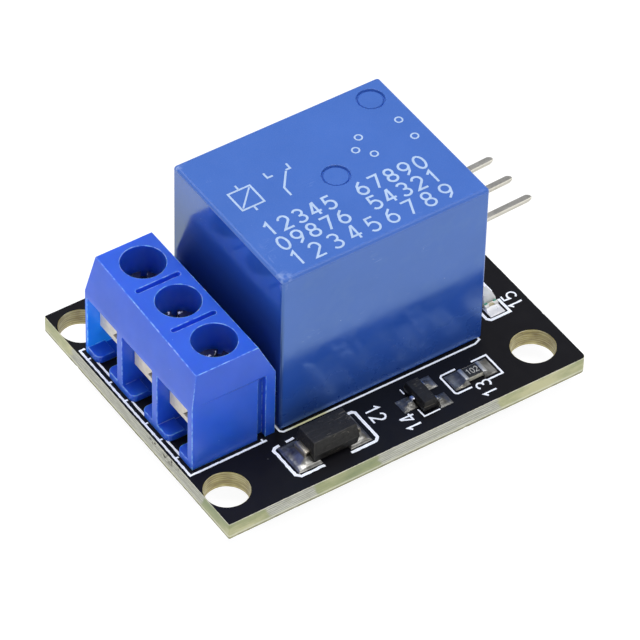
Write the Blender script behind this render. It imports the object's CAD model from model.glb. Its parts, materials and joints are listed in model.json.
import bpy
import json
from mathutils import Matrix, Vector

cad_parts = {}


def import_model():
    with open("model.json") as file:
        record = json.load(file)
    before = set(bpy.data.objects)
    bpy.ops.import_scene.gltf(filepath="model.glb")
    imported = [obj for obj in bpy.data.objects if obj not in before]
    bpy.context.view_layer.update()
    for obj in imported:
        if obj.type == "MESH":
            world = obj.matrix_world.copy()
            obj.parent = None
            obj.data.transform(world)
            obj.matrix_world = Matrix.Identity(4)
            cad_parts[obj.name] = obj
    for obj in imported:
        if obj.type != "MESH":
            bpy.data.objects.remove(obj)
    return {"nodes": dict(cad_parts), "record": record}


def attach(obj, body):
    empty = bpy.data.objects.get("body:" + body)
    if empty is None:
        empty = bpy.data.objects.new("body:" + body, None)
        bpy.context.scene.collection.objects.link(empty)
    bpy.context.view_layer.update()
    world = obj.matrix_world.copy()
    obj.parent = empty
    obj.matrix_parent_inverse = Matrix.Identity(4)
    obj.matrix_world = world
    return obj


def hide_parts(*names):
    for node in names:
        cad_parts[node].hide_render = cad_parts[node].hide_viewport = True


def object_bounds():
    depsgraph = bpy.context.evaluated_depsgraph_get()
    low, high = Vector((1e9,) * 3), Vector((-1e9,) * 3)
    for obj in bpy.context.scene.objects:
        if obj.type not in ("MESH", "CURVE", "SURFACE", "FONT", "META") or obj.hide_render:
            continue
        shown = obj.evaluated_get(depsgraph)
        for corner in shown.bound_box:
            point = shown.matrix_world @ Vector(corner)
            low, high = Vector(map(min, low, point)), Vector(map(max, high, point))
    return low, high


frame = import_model()
CAD_BOX = [list(c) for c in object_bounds()]

import bpy, bmesh, json, math, random
from math import sin, cos, pi, radians, sqrt, exp, atan2, hypot
from mathutils import Vector, Matrix, noise
from mathutils.geometry import tessellate_polygon

# The pieces are laid out in millimetres from the board's near left corner,
# board top at Z = 0, and moved into the row frame at the end.
OFF = Vector((-16.33, -13.68, 1.6))
TO_ROW = Matrix.Scale(0.001, 4) @ Matrix.Translation(OFF)
rnd = random.Random(7)
scene = bpy.context.scene
NODES = frame["nodes"]
SLOT_OF = {s["node"]: s["material_slot"] for s in frame["record"]["subparts"]}


# ------------------------------------------------------------------ materials
class Mat:
    def __init__(self, name, **sockets):
        self.m = bpy.data.materials.new(name)
        self.m.use_nodes = True
        self.nt = self.m.node_tree
        self.nt.nodes.clear()
        self.out = self.nt.nodes.new("ShaderNodeOutputMaterial")
        self.b = self.nt.nodes.new("ShaderNodeBsdfPrincipled")
        self.nt.links.new(self.b.outputs[0], self.out.inputs["Surface"])
        self.tc = self.nt.nodes.new("ShaderNodeTexCoord")
        for k, v in sockets.items():
            self.b.inputs[k.replace("_", " ")].default_value = v

    def new(self, kind, **props):
        n = self.nt.nodes.new(kind)
        for k, v in props.items():
            setattr(n, k, v)
        return n

    def link(self, a, b):
        self.nt.links.new(a, b)

    def coords(self, scale=(1, 1, 1), rot=(0, 0, 0)):
        m = self.new("ShaderNodeMapping")
        m.inputs["Scale"].default_value = scale
        m.inputs["Rotation"].default_value = rot
        self.link(self.tc.outputs["Object"], m.inputs["Vector"])
        return m.outputs[0]

    def noise(self, mm, detail=3.0, rough=0.5, vec=None, distort=0.0):
        """Noise whose lumps are about mm millimetres across."""
        n = self.new("ShaderNodeTexNoise")
        n.inputs["Scale"].default_value = 1000.0 / mm
        n.inputs["Detail"].default_value = detail
        n.inputs["Roughness"].default_value = rough
        n.inputs["Distortion"].default_value = distort
        self.link(vec if vec is not None else self.tc.outputs["Object"], n.inputs["Vector"])
        return n.outputs[0]

    def cells(self, mm, feature="F1", vec=None, rand=1.0):
        n = self.new("ShaderNodeTexVoronoi")
        n.feature = feature
        n.inputs["Scale"].default_value = 1000.0 / mm
        n.inputs["Randomness"].default_value = rand
        self.link(vec if vec is not None else self.tc.outputs["Object"], n.inputs["Vector"])
        return n

    def ramp(self, fac, *stops):
        n = self.new("ShaderNodeValToRGB")
        e = n.color_ramp.elements
        while len(e) < len(stops):
            e.new(0.5)
        for el, (pos, col) in zip(e, stops):
            el.position = pos
            el.color = col if len(col) == 4 else (*col, 1)
        self.link(fac, n.inputs[0])
        return n.outputs[0]

    def span(self, fac, a, b, lo, hi):
        n = self.new("ShaderNodeMapRange")
        for i, v in zip((1, 2, 3, 4), (a, b, lo, hi)):
            n.inputs[i].default_value = v
        self.link(fac, n.inputs[0])
        return n.outputs[0]

    def mix(self, fac, a, b, mode="MIX"):
        n = self.new("ShaderNodeMix", data_type="RGBA", blend_type=mode)
        for i, v in ((0, fac), (6, a), (7, b)):
            if isinstance(v, (int, float)):
                n.inputs[i].default_value = v
            elif isinstance(v, tuple):
                n.inputs[i].default_value = v if len(v) == 4 else (*v, 1)
            else:
                self.link(v, n.inputs[i])
        return n.outputs[2]

    def math(self, op, a, b=None, c=None):
        n = self.new("ShaderNodeMath", operation=op)
        for i, v in enumerate((a, b, c)):
            if v is None:
                continue
            if isinstance(v, (int, float)):
                n.inputs[i].default_value = v
            else:
                self.link(v, n.inputs[i])
        return n.outputs[0]

    def attr(self, name):
        n = self.new("ShaderNodeAttribute", attribute_name=name)
        return n.outputs["Fac"]

    def bump(self, height, um, strength=1.0, under=None):
        n = self.new("ShaderNodeBump")
        n.inputs["Strength"].default_value = strength
        n.inputs["Distance"].default_value = um * 1e-6
        self.link(height, n.inputs["Height"])
        if under is not None:
            self.link(under, n.inputs["Normal"])
        return n.outputs[0]

    def color(self, s):
        self.link(s, self.b.inputs["Base Color"])

    def rough(self, s):
        self.link(s, self.b.inputs["Roughness"])

    def normal(self, s):
        self.link(s, self.b.inputs["Normal"])


def specks(m, mm, size, seed_rot, keep):
    """0..1 mask of sparse round dots: cells of mm, dots of size of a cell, only where a slow noise is high."""
    v = m.cells(mm, vec=m.coords(rot=seed_rot))
    dot = m.span(v.outputs["Distance"], size, size * 0.55, 0.0, 1.0)
    pick = m.new("ShaderNodeSeparateColor")
    m.link(v.outputs["Color"], pick.inputs[0])
    few = m.math("GREATER_THAN", pick.outputs[0], keep)
    return m.math("MULTIPLY", dot, few)


def make_mask():
    m = Mat("board_mask", Metallic=0.0, IOR=1.45)
    m.b.inputs["Specular IOR Level"].default_value = 0.17
    big = m.noise(6.0, 3)
    base = m.ramp(big, (0.3, (0.0064, 0.0062, 0.0086)), (0.7, (0.0082, 0.0080, 0.0108)))
    dust = specks(m, 1.3, 0.055, (0.3, 0.1, 0.7), 0.80)
    m.color(m.mix(m.math("MULTIPLY", dust, 0.5), base, (0.20, 0.20, 0.20)))
    m.rough(m.span(m.noise(0.9, 4), 0.3, 0.7, 0.30, 0.44))
    fine = m.bump(m.noise(0.16, 3), 1.6)
    m.normal(m.bump(m.noise(1.6, 2), 6, under=fine))
    return m.m


def make_edge():
    """Cut laminate: fibrous grey where it was snapped, smooth yellow-green where it was milled."""
    m = Mat("board_edge")
    m.b.inputs["Specular IOR Level"].default_value = 0.30
    zone = m.attr("fibre")
    sep = m.new("ShaderNodeSeparateXYZ")
    m.link(m.tc.outputs["Object"], sep.inputs[0])
    z = sep.outputs["Z"]
    sway = m.noise(0.9, 3, 0.6, vec=m.coords(scale=(0.35, 0.35, 1.0)))
    phase = m.math("ADD", m.math("MULTIPLY", z, 2 * pi / 0.000205), m.math("MULTIPLY", sway, 9.0))
    plies = m.math("ADD", 0.5, m.math("MULTIPLY", m.math("SINE", phase), 0.5))
    layers = m.noise(0.16, 2, 0.6, vec=m.coords(scale=(0.05, 0.05, 1.0)))
    strands = m.noise(0.07, 3, 0.6, vec=m.coords(scale=(0.10, 0.10, 1.0)))
    grey = m.ramp(plies, (0.10, (0.370, 0.380, 0.320)), (0.50, (0.500, 0.510, 0.440)), (0.90, (0.640, 0.645, 0.570)))
    grey = m.mix(m.span(layers, 0.42, 0.66, 0.0, 0.55), grey, (0.300, 0.300, 0.240))
    grey = m.mix(m.span(strands, 0.50, 0.72, 0.0, 0.50), grey, (0.76, 0.76, 0.69))
    green = m.ramp(m.noise(2.6, 4, 0.60, vec=m.coords(scale=(0.45, 0.45, 1.0))),
                   (0.30, (0.25, 0.30, 0.150)), (0.46, (0.36, 0.39, 0.200)), (0.62, (0.58, 0.57, 0.33)))
    green = m.mix(m.span(layers, 0.55, 0.75, 0.0, 0.25), green, (0.64, 0.63, 0.40))
    col = m.mix(zone, green, grey)
    # pale line under the mask, a pale then an olive line along the bottom
    lip = m.math("MULTIPLY", m.span(z, 0.00148, 0.00157, 0.0, 0.85), m.span(m.noise(0.5, 3), 0.35, 0.60, 0.35, 1.0))
    col = m.mix(lip, col, (0.80, 0.78, 0.66))
    low = m.math("MULTIPLY", m.span(z, 0.00044, 0.00030, 0.0, 0.70), m.span(z, 0.00016, 0.00024, 0.0, 1.0))
    col = m.mix(low, col, (0.74, 0.74, 0.58))
    col = m.mix(m.math("MULTIPLY", m.span(z, 0.00022, 0.00014, 0.0, 1.0), m.span(m.noise(0.8, 3), 0.3, 0.6, 0.45, 0.95)), col, (0.185, 0.180, 0.085))
    scorch = m.span(m.noise(0.22, 3), 0.68, 0.80, 0.0, 0.50)
    col = m.mix(scorch, col, (0.16, 0.15, 0.09))
    chips = m.math("MULTIPLY", m.span(m.noise(0.34, 3, 0.55), 0.53, 0.60, 0.0, 0.90), spot(m, (0.0, 9.2, -0.35), 2.9, 0.5, (0.4, 1.0, 0.20), 0.3))
    col = m.mix(chips, col, (0.055, 0.050, 0.040))
    m.color(col)
    m.rough(m.span(zone, 0, 1, 0.42, 0.85))
    h = m.math("ADD", m.math("MULTIPLY", plies, 0.5), m.math("ADD", layers, m.math("MULTIPLY", strands, 0.5)))
    m.normal(m.bump(h, 16, 0.8))
    m.b.inputs["Subsurface Weight"].default_value = 0.12
    m.b.inputs["Subsurface Radius"].default_value = (0.8, 0.8, 0.4)
    m.b.inputs["Subsurface Scale"].default_value = 0.0006
    return m.m


def make_hole():
    m = Mat("board_hole_wall")
    sep = m.new("ShaderNodeSeparateXYZ")
    m.link(m.tc.outputs["Object"], sep.inputs[0])
    z = sep.outputs["Z"]
    lay = m.coords(scale=(0.07, 0.07, 1.0))
    layers = m.noise(0.15, 2, 0.6, vec=lay)
    phase = m.math("ADD", m.math("MULTIPLY", z, 2 * pi / 0.00023), m.math("MULTIPLY", m.noise(1.2, 2), 7.0))
    plies = m.math("ADD", 0.5, m.math("MULTIPLY", m.math("SINE", phase), 0.5))
    patch = m.noise(1.1, 3)
    a = m.ramp(patch, (0.30, (0.28, 0.215, 0.065)), (0.52, (0.43, 0.365, 0.12)), (0.72, (0.60, 0.55, 0.26)))
    a = m.mix(m.span(plies, 0.55, 0.95, 0.0, 0.42), a, (0.78, 0.74, 0.52))
    a = m.mix(m.span(layers, 0.50, 0.64, 0.0, 0.70), a, (0.20, 0.16, 0.06))
    brown = m.span(m.noise(0.5, 3), 0.66, 0.78, 0.0, 0.5)
    m.color(m.mix(brown, a, (0.34, 0.20, 0.07)))
    m.rough(m.span(layers, 0.3, 0.7, 0.30, 0.55))
    m.normal(m.bump(m.math("ADD", layers, m.math("MULTIPLY", plies, 0.5)), 22, 0.8))
    m.b.inputs["Subsurface Weight"].default_value = 0.15
    m.b.inputs["Subsurface Radius"].default_value = (1.0, 0.9, 0.4)
    m.b.inputs["Subsurface Scale"].default_value = 0.0006
    return m.m


def make_silk(name, base, wear=0.0, glow=0.0):
    m = Mat(name)
    m.b.inputs["Specular IOR Level"].default_value = 0.3
    c = m.ramp(m.noise(0.5, 4), (0.3, tuple(v * 0.86 for v in base)), (0.7, base))
    thin = m.span(m.noise(0.16, 3), 0.66, 0.80, 0.0, 0.35 + wear)
    c = m.mix(thin, c, tuple(v * 0.45 for v in base))
    if glow:
        # flux stain along the near left foot of the relay
        c = m.mix(m.math("MULTIPLY", spot(m, (11.3, 5.85, 0.0), 2.4, 0.45, (1.0, 0.22, 0.5), 0.3), 0.85), c, (0.52, 0.50, 0.22))
    m.color(c)
    m.rough(m.span(m.noise(0.2, 3), 0.3, 0.7, 0.45, 0.7))
    m.normal(m.bump(m.noise(0.12, 3), 6))
    if glow:
        m.link(c, m.b.inputs["Emission Color"])
        m.b.inputs["Emission Strength"].default_value = glow
    return m.m


def make_solder(name="solder", lift=1.0, smooth=0.0):
    m = Mat(name, Metallic=0.85)
    a = m.noise(1.1, 3, 0.55, distort=0.3)
    c = m.ramp(a, *[(q, tuple(min(0.95, v * lift) for v in t)) for q, t in ((0.32, (0.110, 0.106, 0.098)), (0.50, (0.230, 0.226, 0.212)), (0.70, (0.47, 0.465, 0.440)))])
    flux = m.span(m.noise(0.7, 3), 0.60, 0.78, 0.0, 0.45)
    m.color(m.mix(flux, c, (0.30, 0.27, 0.20)))
    m.rough(m.span(m.noise(0.6, 3), 0.35, 0.70, 0.28 - smooth, 0.46 - smooth))
    m.normal(m.bump(m.noise(0.50, 2), 7, 0.7))
    return m.m


def make_tin(name, tint, lo, hi, brush=None, um=0.6):
    m = Mat(name, Metallic=1.0)
    a = m.noise(0.7, 4)
    m.color(m.ramp(a, (0.3, tuple(v * 0.78 for v in tint)), (0.7, tint)))
    m.rough(m.span(m.noise(0.25, 4), 0.3, 0.7, lo, hi))
    vec = m.coords(scale=brush) if brush else None
    m.normal(m.bump(m.noise(0.20, 2, vec=vec), um, 0.7))
    return m.m


def make_screw(name):
    m = Mat(name, Metallic=1.0)
    c = m.ramp(m.noise(0.9, 3), (0.3, (0.10, 0.105, 0.13)), (0.7, (0.24, 0.245, 0.28)))
    nick = m.span(m.noise(0.42, 3, 0.5), 0.62, 0.67, 0.0, 1.0)
    c = m.mix(nick, c, (0.95, 0.95, 0.96))
    m.color(c)
    m.rough(m.span(m.noise(0.6, 3), 0.3, 0.7, 0.16, 0.28))
    m.link(m.mix(nick, (0.0, 0.0, 0.0), (0.30, 0.31, 0.34)), m.b.inputs["Emission Color"])
    m.b.inputs["Emission Strength"].default_value = 1.0
    return m.m


def spot(m, p, r, soft=0.5, squash=(1, 1, 1), ragged=0.0, grain=0.4):
    """1 inside a ball of r mm round the board point p, 0 outside, with a ragged edge."""
    q = (Vector(p) + OFF) * 0.001
    v = m.new("ShaderNodeVectorMath", operation="SUBTRACT")
    m.link(m.tc.outputs["Object"], v.inputs[0])
    v.inputs[1].default_value = q
    w = m.new("ShaderNodeVectorMath", operation="MULTIPLY")
    m.link(v.outputs[0], w.inputs[0])
    w.inputs[1].default_value = [1000.0 / (r * k) for k in squash]
    d = m.new("ShaderNodeVectorMath", operation="LENGTH")
    m.link(w.outputs[0], d.inputs[0])
    dist = d.outputs["Value"]
    if ragged:
        dist = m.math("ADD", dist, m.math("MULTIPLY", m.math("SUBTRACT", m.noise(grain, 3), 0.5), ragged))
    return m.span(dist, 1.0 - soft, 1.0, 1.0, 0.0)


def hairs(m, rot, scale, where, thin=90.0, mm=0.5):
    """Sparse thin scratches along one direction."""
    s = m.noise(mm, 1, 0.4, vec=m.coords(scale=scale, rot=rot))
    line = m.math("SUBTRACT", 1.0, m.math("MULTIPLY", m.math("ABSOLUTE", m.math("SUBTRACT", s, 0.5)), thin))
    line = m.math("MAXIMUM", line, 0.0)
    return m.math("MULTIPLY", line, where)


def make_relay_top():
    """Fine-grained top face of the cover."""
    m = Mat("relay_plastic_top", IOR=1.5)
    base = m.ramp(m.noise(6.0, 3), (0.25, (0.042, 0.142, 0.530)), (0.75, (0.052, 0.162, 0.590)))
    grain = m.span(m.noise(0.09, 2), 0.40, 0.68, 0.0, 0.16)
    base = m.mix(grain, base, (0.13, 0.25, 0.70))
    pits = specks(m, 0.55, 0.07, (0.2, 0.5, 0.1), 0.62)
    base = m.mix(m.math("MULTIPLY", pits, 0.30), base, (0.22, 0.34, 0.78))
    dark = specks(m, 2.6, 0.035, (0.9, 0.2, 0.4), 0.86)
    base = m.mix(m.math("MULTIPLY", dark, 0.5), base, (0.015, 0.03, 0.12))
    for rot, lo in (((0.2, 0.1, 0.5), 0.66), ((1.1, 0.4, 2.2), 0.68)):
        h = hairs(m, rot, (0.16, 2.2, 1.0), m.span(m.noise(3.0, 2, vec=m.coords(rot=rot)), lo, lo + 0.06, 0.0, 0.30))
        base = m.mix(h, base, (0.26, 0.40, 0.82))
    near = m.math("MULTIPLY", m.span(m.noise(0.45, 3, vec=m.coords(scale=(1.6, 0.5, 1.0), rot=(0, 0, 0.4))), 0.58, 0.68, 0.0, 0.35),
                  spot(m, (9.2, 8.9, 16.1), 1.7, 0.9, (0.5, 1.3, 1)))
    base = m.mix(near, base, (0.30, 0.44, 0.86))
    wear = m.math("MULTIPLY", m.span(m.noise(0.45, 3), 0.46, 0.64, 0.0, 0.55),
                  m.math("MAXIMUM", spot(m, (8.95, 6.30, 16.0), 0.9, 0.8, (1.4, 1.4, 0.5)), spot(m, (8.85, 21.2, 16.0), 0.8, 0.8, (1, 1, 0.6))))
    base = m.mix(wear, base, (0.42, 0.55, 0.88))
    m.color(base)
    m.rough(m.span(m.noise(0.5, 3), 0.3, 0.75, 0.30, 0.42))
    fine = m.bump(m.noise(0.10, 2), 1.4)
    m.normal(m.bump(m.noise(3.5, 2), 6, under=fine))
    m.b.inputs["Specular IOR Level"].default_value = 0.5
    return m.m


def make_relay_side():
    """Polished side faces of the cover."""
    m = Mat("relay_plastic", IOR=1.70)
    base = m.ramp(m.noise(5.0, 3), (0.25, (0.019, 0.084, 0.430)), (0.75, (0.027, 0.101, 0.495)))
    cloud = m.span(m.noise(2.2, 5, 0.6), 0.50, 0.80, 0.0, 0.30)
    base = m.mix(cloud, base, (0.070, 0.155, 0.420))
    light = specks(m, 0.9, 0.050, (0.2, 0.5, 0.1), 0.72)
    base = m.mix(m.math("MULTIPLY", light, 0.60), base, (0.40, 0.50, 0.78))
    for rot, lo in (((0.2, 0.1, 0.5), 0.64), ((1.1, 0.4, 2.2), 0.66)):
        h = hairs(m, rot, (0.16, 2.2, 1.0), m.span(m.noise(3.2, 2, vec=m.coords(rot=rot)), lo, lo + 0.06, 0.0, 0.35))
        base = m.mix(h, base, (0.22, 0.32, 0.62))
    wear = m.math("MULTIPLY", m.span(m.noise(0.50, 3), 0.48, 0.66, 0.0, 0.35), spot(m, (8.85, 6.20, 15.8), 0.7, 0.8, (1, 1, 1.3)))
    sep = m.new("ShaderNodeSeparateXYZ")
    m.link(m.tc.outputs["Object"], sep.inputs[0])
    xx = (8.76 + OFF.x) * 0.001
    left = m.math("MULTIPLY", m.span(sep.outputs["X"], xx + 0.00030, xx + 0.00008, 0.0, 1.0), m.span(sep.outputs["Z"], 0.0170, 0.0120, 0.0, 1.0))
    base = m.mix(left, base, (0.018, 0.052, 0.235))
    base = m.mix(wear, base, (0.40, 0.52, 0.84))
    m.color(base)
    soft = m.span(sep.outputs["Z"], 0.0074, 0.0048, 0.0, 0.14)
    m.rough(m.math("ADD", soft, m.span(m.noise(1.6, 4), 0.35, 0.75, 0.11, 0.19)))
    fine = m.bump(m.noise(0.14, 2), 0.3)
    m.normal(m.bump(m.noise(4.5, 2), 1.6, under=fine))
    m.b.inputs["Specular IOR Level"].default_value = 0.92
    m.b.inputs["Specular Tint"].default_value = (0.44, 0.72, 1.0, 1)
    return m.m


def make_terminal_plastic(name="terminal_plastic", worn=False, gloss=False):
    m = Mat(name, IOR=1.52)
    base = m.ramp(m.noise(3.0, 3, 0.5), (0.28, (0.020, 0.118, 0.70)), (0.72, (0.028, 0.140, 0.80)))
    light = specks(m, 0.7, 0.075, (0.4, 0.9, 0.3), 0.74)
    base = m.mix(m.math("MULTIPLY", light, 0.45), base, (0.30, 0.48, 0.95))
    tiny = specks(m, 0.32, 0.10, (0.9, 0.2, 0.6), 0.90)
    base = m.mix(m.math("MULTIPLY", tiny, 0.30), base, (0.25, 0.42, 0.92))
    if gloss:
        base = m.mix(m.span(m.noise(1.3, 3, vec=m.coords(scale=(1.0, 1.0, 0.22))), 0.42, 0.62, 0.0, 0.75), base, (0.016, 0.045, 0.34))
    if worn:
        base = m.mix(m.span(m.noise(0.45, 4), 0.40, 0.60, 0.10, 0.95), base, (0.30, 0.50, 0.98))
    m.color(base)
    lo, hi = (0.35, 0.60) if worn else (0.10, 0.20) if gloss else (0.30, 0.40)
    m.rough(m.span(m.noise(0.9, 3), 0.3, 0.7, lo, hi))
    m.normal(m.bump(m.noise(1.3 if gloss else 2.6, 2), 26 if gloss else 7))
    m.b.inputs["Subsurface Weight"].default_value = 0.85
    m.b.inputs["Subsurface Radius"].default_value = (0.15, 0.55, 1.0)
    m.b.inputs["Subsurface Scale"].default_value = 0.0006
    m.b.inputs["Specular IOR Level"].default_value = 0.5
    # light coming through the thin end wall
    sep = m.new("ShaderNodeSeparateXYZ")
    m.link(m.tc.outputs["Object"], sep.inputs[0])
    yy = (21.30 + OFF.y) * 0.001
    zz = (6.05 + OFF.z) * 0.001
    thin = m.math("MULTIPLY", m.math("MULTIPLY", m.span(sep.outputs["Y"], yy - 0.00006, yy + 0.00004, 0.0, 1.0), m.span(sep.outputs["Y"], yy + 0.00034, yy + 0.00020, 0.0, 1.0)), m.span(sep.outputs["Z"], zz + 0.0001, zz - 0.0006, 0.0, 1.0))
    m.link(m.mix(m.math("MULTIPLY", thin, m.span(m.noise(1.5, 2), 0.3, 0.7, 0.7, 1.0)), (0.0, 0.0, 0.0), (0.004, 0.115, 0.31)), m.b.inputs["Emission Color"])
    m.b.inputs["Emission Strength"].default_value = 1.0
    return m.m


def make_compound(name="moulding_compound", tone=0.016):
    m = Mat(name)
    a = m.noise(0.45, 5, 0.65)
    c = m.ramp(a, (0.3, (tone * 0.55, tone * 0.52, tone * 0.5)), (0.7, (tone * 1.5, tone * 1.42, tone * 1.35)))
    streak = m.span(m.noise(0.30, 4, vec=m.coords(scale=(0.35, 1.8, 1.8))), 0.58, 0.76, 0.0, 0.22)
    c = m.mix(streak, c, (0.085, 0.078, 0.065))
    for rot, at in (((0, 0, 0.9), 0.62), ((0.3, 0, 2.3), 0.64)):
        h = hairs(m, rot, (0.25, 2.0, 1.0), m.span(m.noise(1.3, 2, vec=m.coords(rot=rot)), at - 0.10, at, 0.0, 0.55), 60.0, 0.45)
        c = m.mix(h, c, (0.22, 0.20, 0.16))
    m.color(c)
    m.rough(m.span(m.noise(0.25, 3), 0.3, 0.7, 0.40, 0.62))
    fine = m.bump(m.noise(0.055, 3), 3.0)
    m.normal(m.bump(m.noise(0.30, 3), 9, under=fine))
    m.b.inputs["Specular IOR Level"].default_value = 0.4
    return m.m


def make_plain(name, lo, hi, r0, r1, mm=1.0, um=6, metallic=0.0):
    m = Mat(name, Metallic=metallic)
    m.color(m.ramp(m.noise(mm, 4), (0.3, lo), (0.7, hi)))
    m.rough(m.span(m.noise(mm * 0.5, 3), 0.3, 0.7, r0, r1))
    if um:
        m.normal(m.bump(m.noise(mm * 0.15, 3), um))
    return m.m


def make_lens():
    m = Mat("led_resin", IOR=1.5, Roughness=0.22)
    m.b.inputs["Transmission Weight"].default_value = 0.18
    m.color(m.ramp(m.noise(0.5, 3), (0.3, (0.80, 0.84, 0.82)), (0.7, (0.93, 0.95, 0.94))))
    m.b.inputs["Subsurface Weight"].default_value = 0.7
    m.b.inputs["Subsurface Radius"].default_value = (1, 1, 1)
    m.b.inputs["Subsurface Scale"].default_value = 0.0004
    m.normal(m.bump(m.noise(0.25, 3), 6))
    return m.m


def make_coil():
    m = Mat("enamelled_wire", Metallic=0.85)
    w = m.new("ShaderNodeTexWave", wave_type="BANDS", bands_direction="Z", wave_profile="SIN")
    w.inputs["Scale"].default_value = 1800.0
    w.inputs["Distortion"].default_value = 0.6
    m.link(m.tc.outputs["Object"], w.inputs["Vector"])
    m.color(m.ramp(w.outputs["Fac"], (0.1, (0.18, 0.05, 0.015)), (0.8, (0.62, 0.25, 0.09))))
    m.normal(m.bump(w.outputs["Fac"], 40))
    m.rough(m.span(m.noise(0.3, 3), 0.3, 0.7, 0.25, 0.4))
    return m.m


MASK, EDGE, HOLE = make_mask(), make_edge(), make_hole()
SILK = make_silk("screen_print", (0.86, 0.90, 0.98), 0.08, 0.30)
PRINT = make_silk("relay_print", (0.50, 0.66, 0.93), 0.1)
DIGIT = make_silk("resistor_print", (0.62, 0.62, 0.58))
SOLDER = make_solder("solder")
BRIGHT = make_plain("bright_solder", (0.84, 0.85, 0.88), (0.97, 0.97, 0.98), 0.26, 0.36, 0.7, 0.0, metallic=0.2)
TIN = make_tin("tinned_copper", (0.80, 0.80, 0.82), 0.22, 0.42)
LEAD = make_tin("lead_metal", (0.46, 0.42, 0.34), 0.34, 0.50)
RELAY, RELAY_TOP = make_relay_side(), make_relay_top()
TERM, TERM_EDGE = make_terminal_plastic(), make_terminal_plastic("terminal_plastic_edge", True)
TERM_BORE = make_terminal_plastic("terminal_plastic_bore", gloss=True)
PLATE = make_plain("terminal_metal", (0.78, 0.72, 0.57), (0.92, 0.86, 0.72), 0.40, 0.58, 0.5, 2, metallic=0.35)
STEEL = make_screw("screw_steel")
PINS = make_plain("pin_metal", (0.80, 0.77, 0.66), (0.90, 0.87, 0.77), 0.30, 0.40, 1.4, 0.0, metallic=0.45)
PIN_TOP = make_plain("pin_metal_top", (0.46, 0.455, 0.43), (0.56, 0.55, 0.52), 0.30, 0.40, 1.4, 0.0, metallic=0.9)
COMPOUND = make_compound(tone=0.0092)
COMPOUND_EDGE = make_compound("moulding_compound_edge", 0.028)
COMPOUND_Q = make_compound("transistor_compound", 0.009)
BLACK = make_plain("black_plastic", (0.010, 0.010, 0.011), (0.022, 0.022, 0.024), 0.35, 0.55, 0.8, 5)
WHITE = make_plain("white_plastic", (0.70, 0.69, 0.65), (0.84, 0.83, 0.79), 0.35, 0.5, 1.2, 4)
CERAMIC = make_plain("resistor_ceramic", (0.40, 0.39, 0.32), (0.62, 0.60, 0.50), 0.5, 0.7, 0.25, 8)
GLAZE = make_plain("resistor_glaze", (0.010, 0.010, 0.010), (0.024, 0.024, 0.023), 0.28, 0.42, 0.3, 4)
CAPS = make_tin("resistor_caps", (0.62, 0.62, 0.60), 0.34, 0.55)
GILT = make_plain("lamp_plating", (0.80, 0.79, 0.74), (0.95, 0.94, 0.90), 0.28, 0.42, 0.4, 1.0, metallic=0.4)
LAMINATE = make_plain("led_laminate", (0.50, 0.43, 0.24), (0.72, 0.64, 0.42), 0.45, 0.6, 0.3, 6)
LENS = make_lens()
DIE = make_plain("led_die", (0.30, 0.05, 0.04), (0.52, 0.12, 0.08), 0.3, 0.4, 0.2, 4)
GREENMARK = make_plain("led_mark", (0.02, 0.30, 0.20), (0.05, 0.45, 0.30), 0.4, 0.5, 0.2, 3)
IRON = make_tin("iron", (0.60, 0.60, 0.60), 0.3, 0.5)
ALLOY = make_tin("spring_alloy", (0.80, 0.55, 0.36), 0.22, 0.4)
SILVER = make_tin("contact_silver", (0.88, 0.87, 0.84), 0.12, 0.25)
COIL = make_coil()

BY_SLOT = {"board": MASK, "tinned_copper": TIN, "solder": SOLDER, "terminal_plastic": TERM, "terminal_metal": PLATE,
           "screw_steel": STEEL, "relay_plastic": RELAY, "black_plastic": BLACK, "white_plastic": WHITE,
           "enamelled_wire": COIL, "iron": IRON, "spring_alloy": ALLOY, "contact_silver": SILVER,
           "moulding_compound": COMPOUND, "resistor_ceramic": CERAMIC, "led_laminate": LAMINATE, "led_resin": LENS,
           "pin_metal": PINS}
for name, ob in NODES.items():
    ob.data.materials.clear()
    ob.data.materials.append(BY_SLOT[SLOT_OF[name]])


# ------------------------------------------------------------- mesh utilities
def obj(name, bm):
    me = bpy.data.meshes.new(name)
    bmesh.ops.recalc_face_normals(bm, faces=bm.faces)
    bm.to_mesh(me)
    bm.free()
    ob = bpy.data.objects.new(name, me)
    scene.collection.objects.link(ob)
    return ob


def apply_all(ob):
    dg = bpy.context.evaluated_depsgraph_get()
    dg.update()
    me = bpy.data.meshes.new_from_object(ob.evaluated_get(dg))
    old = ob.data
    ob.modifiers.clear()
    ob.data = me
    bpy.data.meshes.remove(old)
    return ob


def boolean(ob, tool, op="DIFFERENCE"):
    m = ob.modifiers.new("b", "BOOLEAN")
    m.operation, m.solver, m.object = op, "EXACT", tool
    apply_all(ob)
    bpy.data.objects.remove(tool)
    return ob


def bevel(ob, width, segments=2, angle=35, slot=-1, clamp=False):
    m = ob.modifiers.new("bevel", "BEVEL")
    m.width, m.segments, m.limit_method, m.angle_limit = width, segments, "ANGLE", radians(angle)
    m.use_clamp_overlap = clamp
    while len(ob.data.materials) <= slot:
        ob.data.materials.append(None)
    m.material = slot
    m.miter_outer = "MITER_ARC"
    return apply_all(ob)


def clean(ob, dist=0.001):
    bm = bmesh.new()
    bm.from_mesh(ob.data)
    bmesh.ops.remove_doubles(bm, verts=bm.verts, dist=dist)
    bmesh.ops.dissolve_degenerate(bm, edges=bm.edges, dist=dist)
    bmesh.ops.dissolve_limit(bm, angle_limit=radians(0.5), verts=bm.verts, edges=bm.edges, delimit={"MATERIAL"})
    bm.to_mesh(ob.data)
    bm.free()
    return ob


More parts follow.
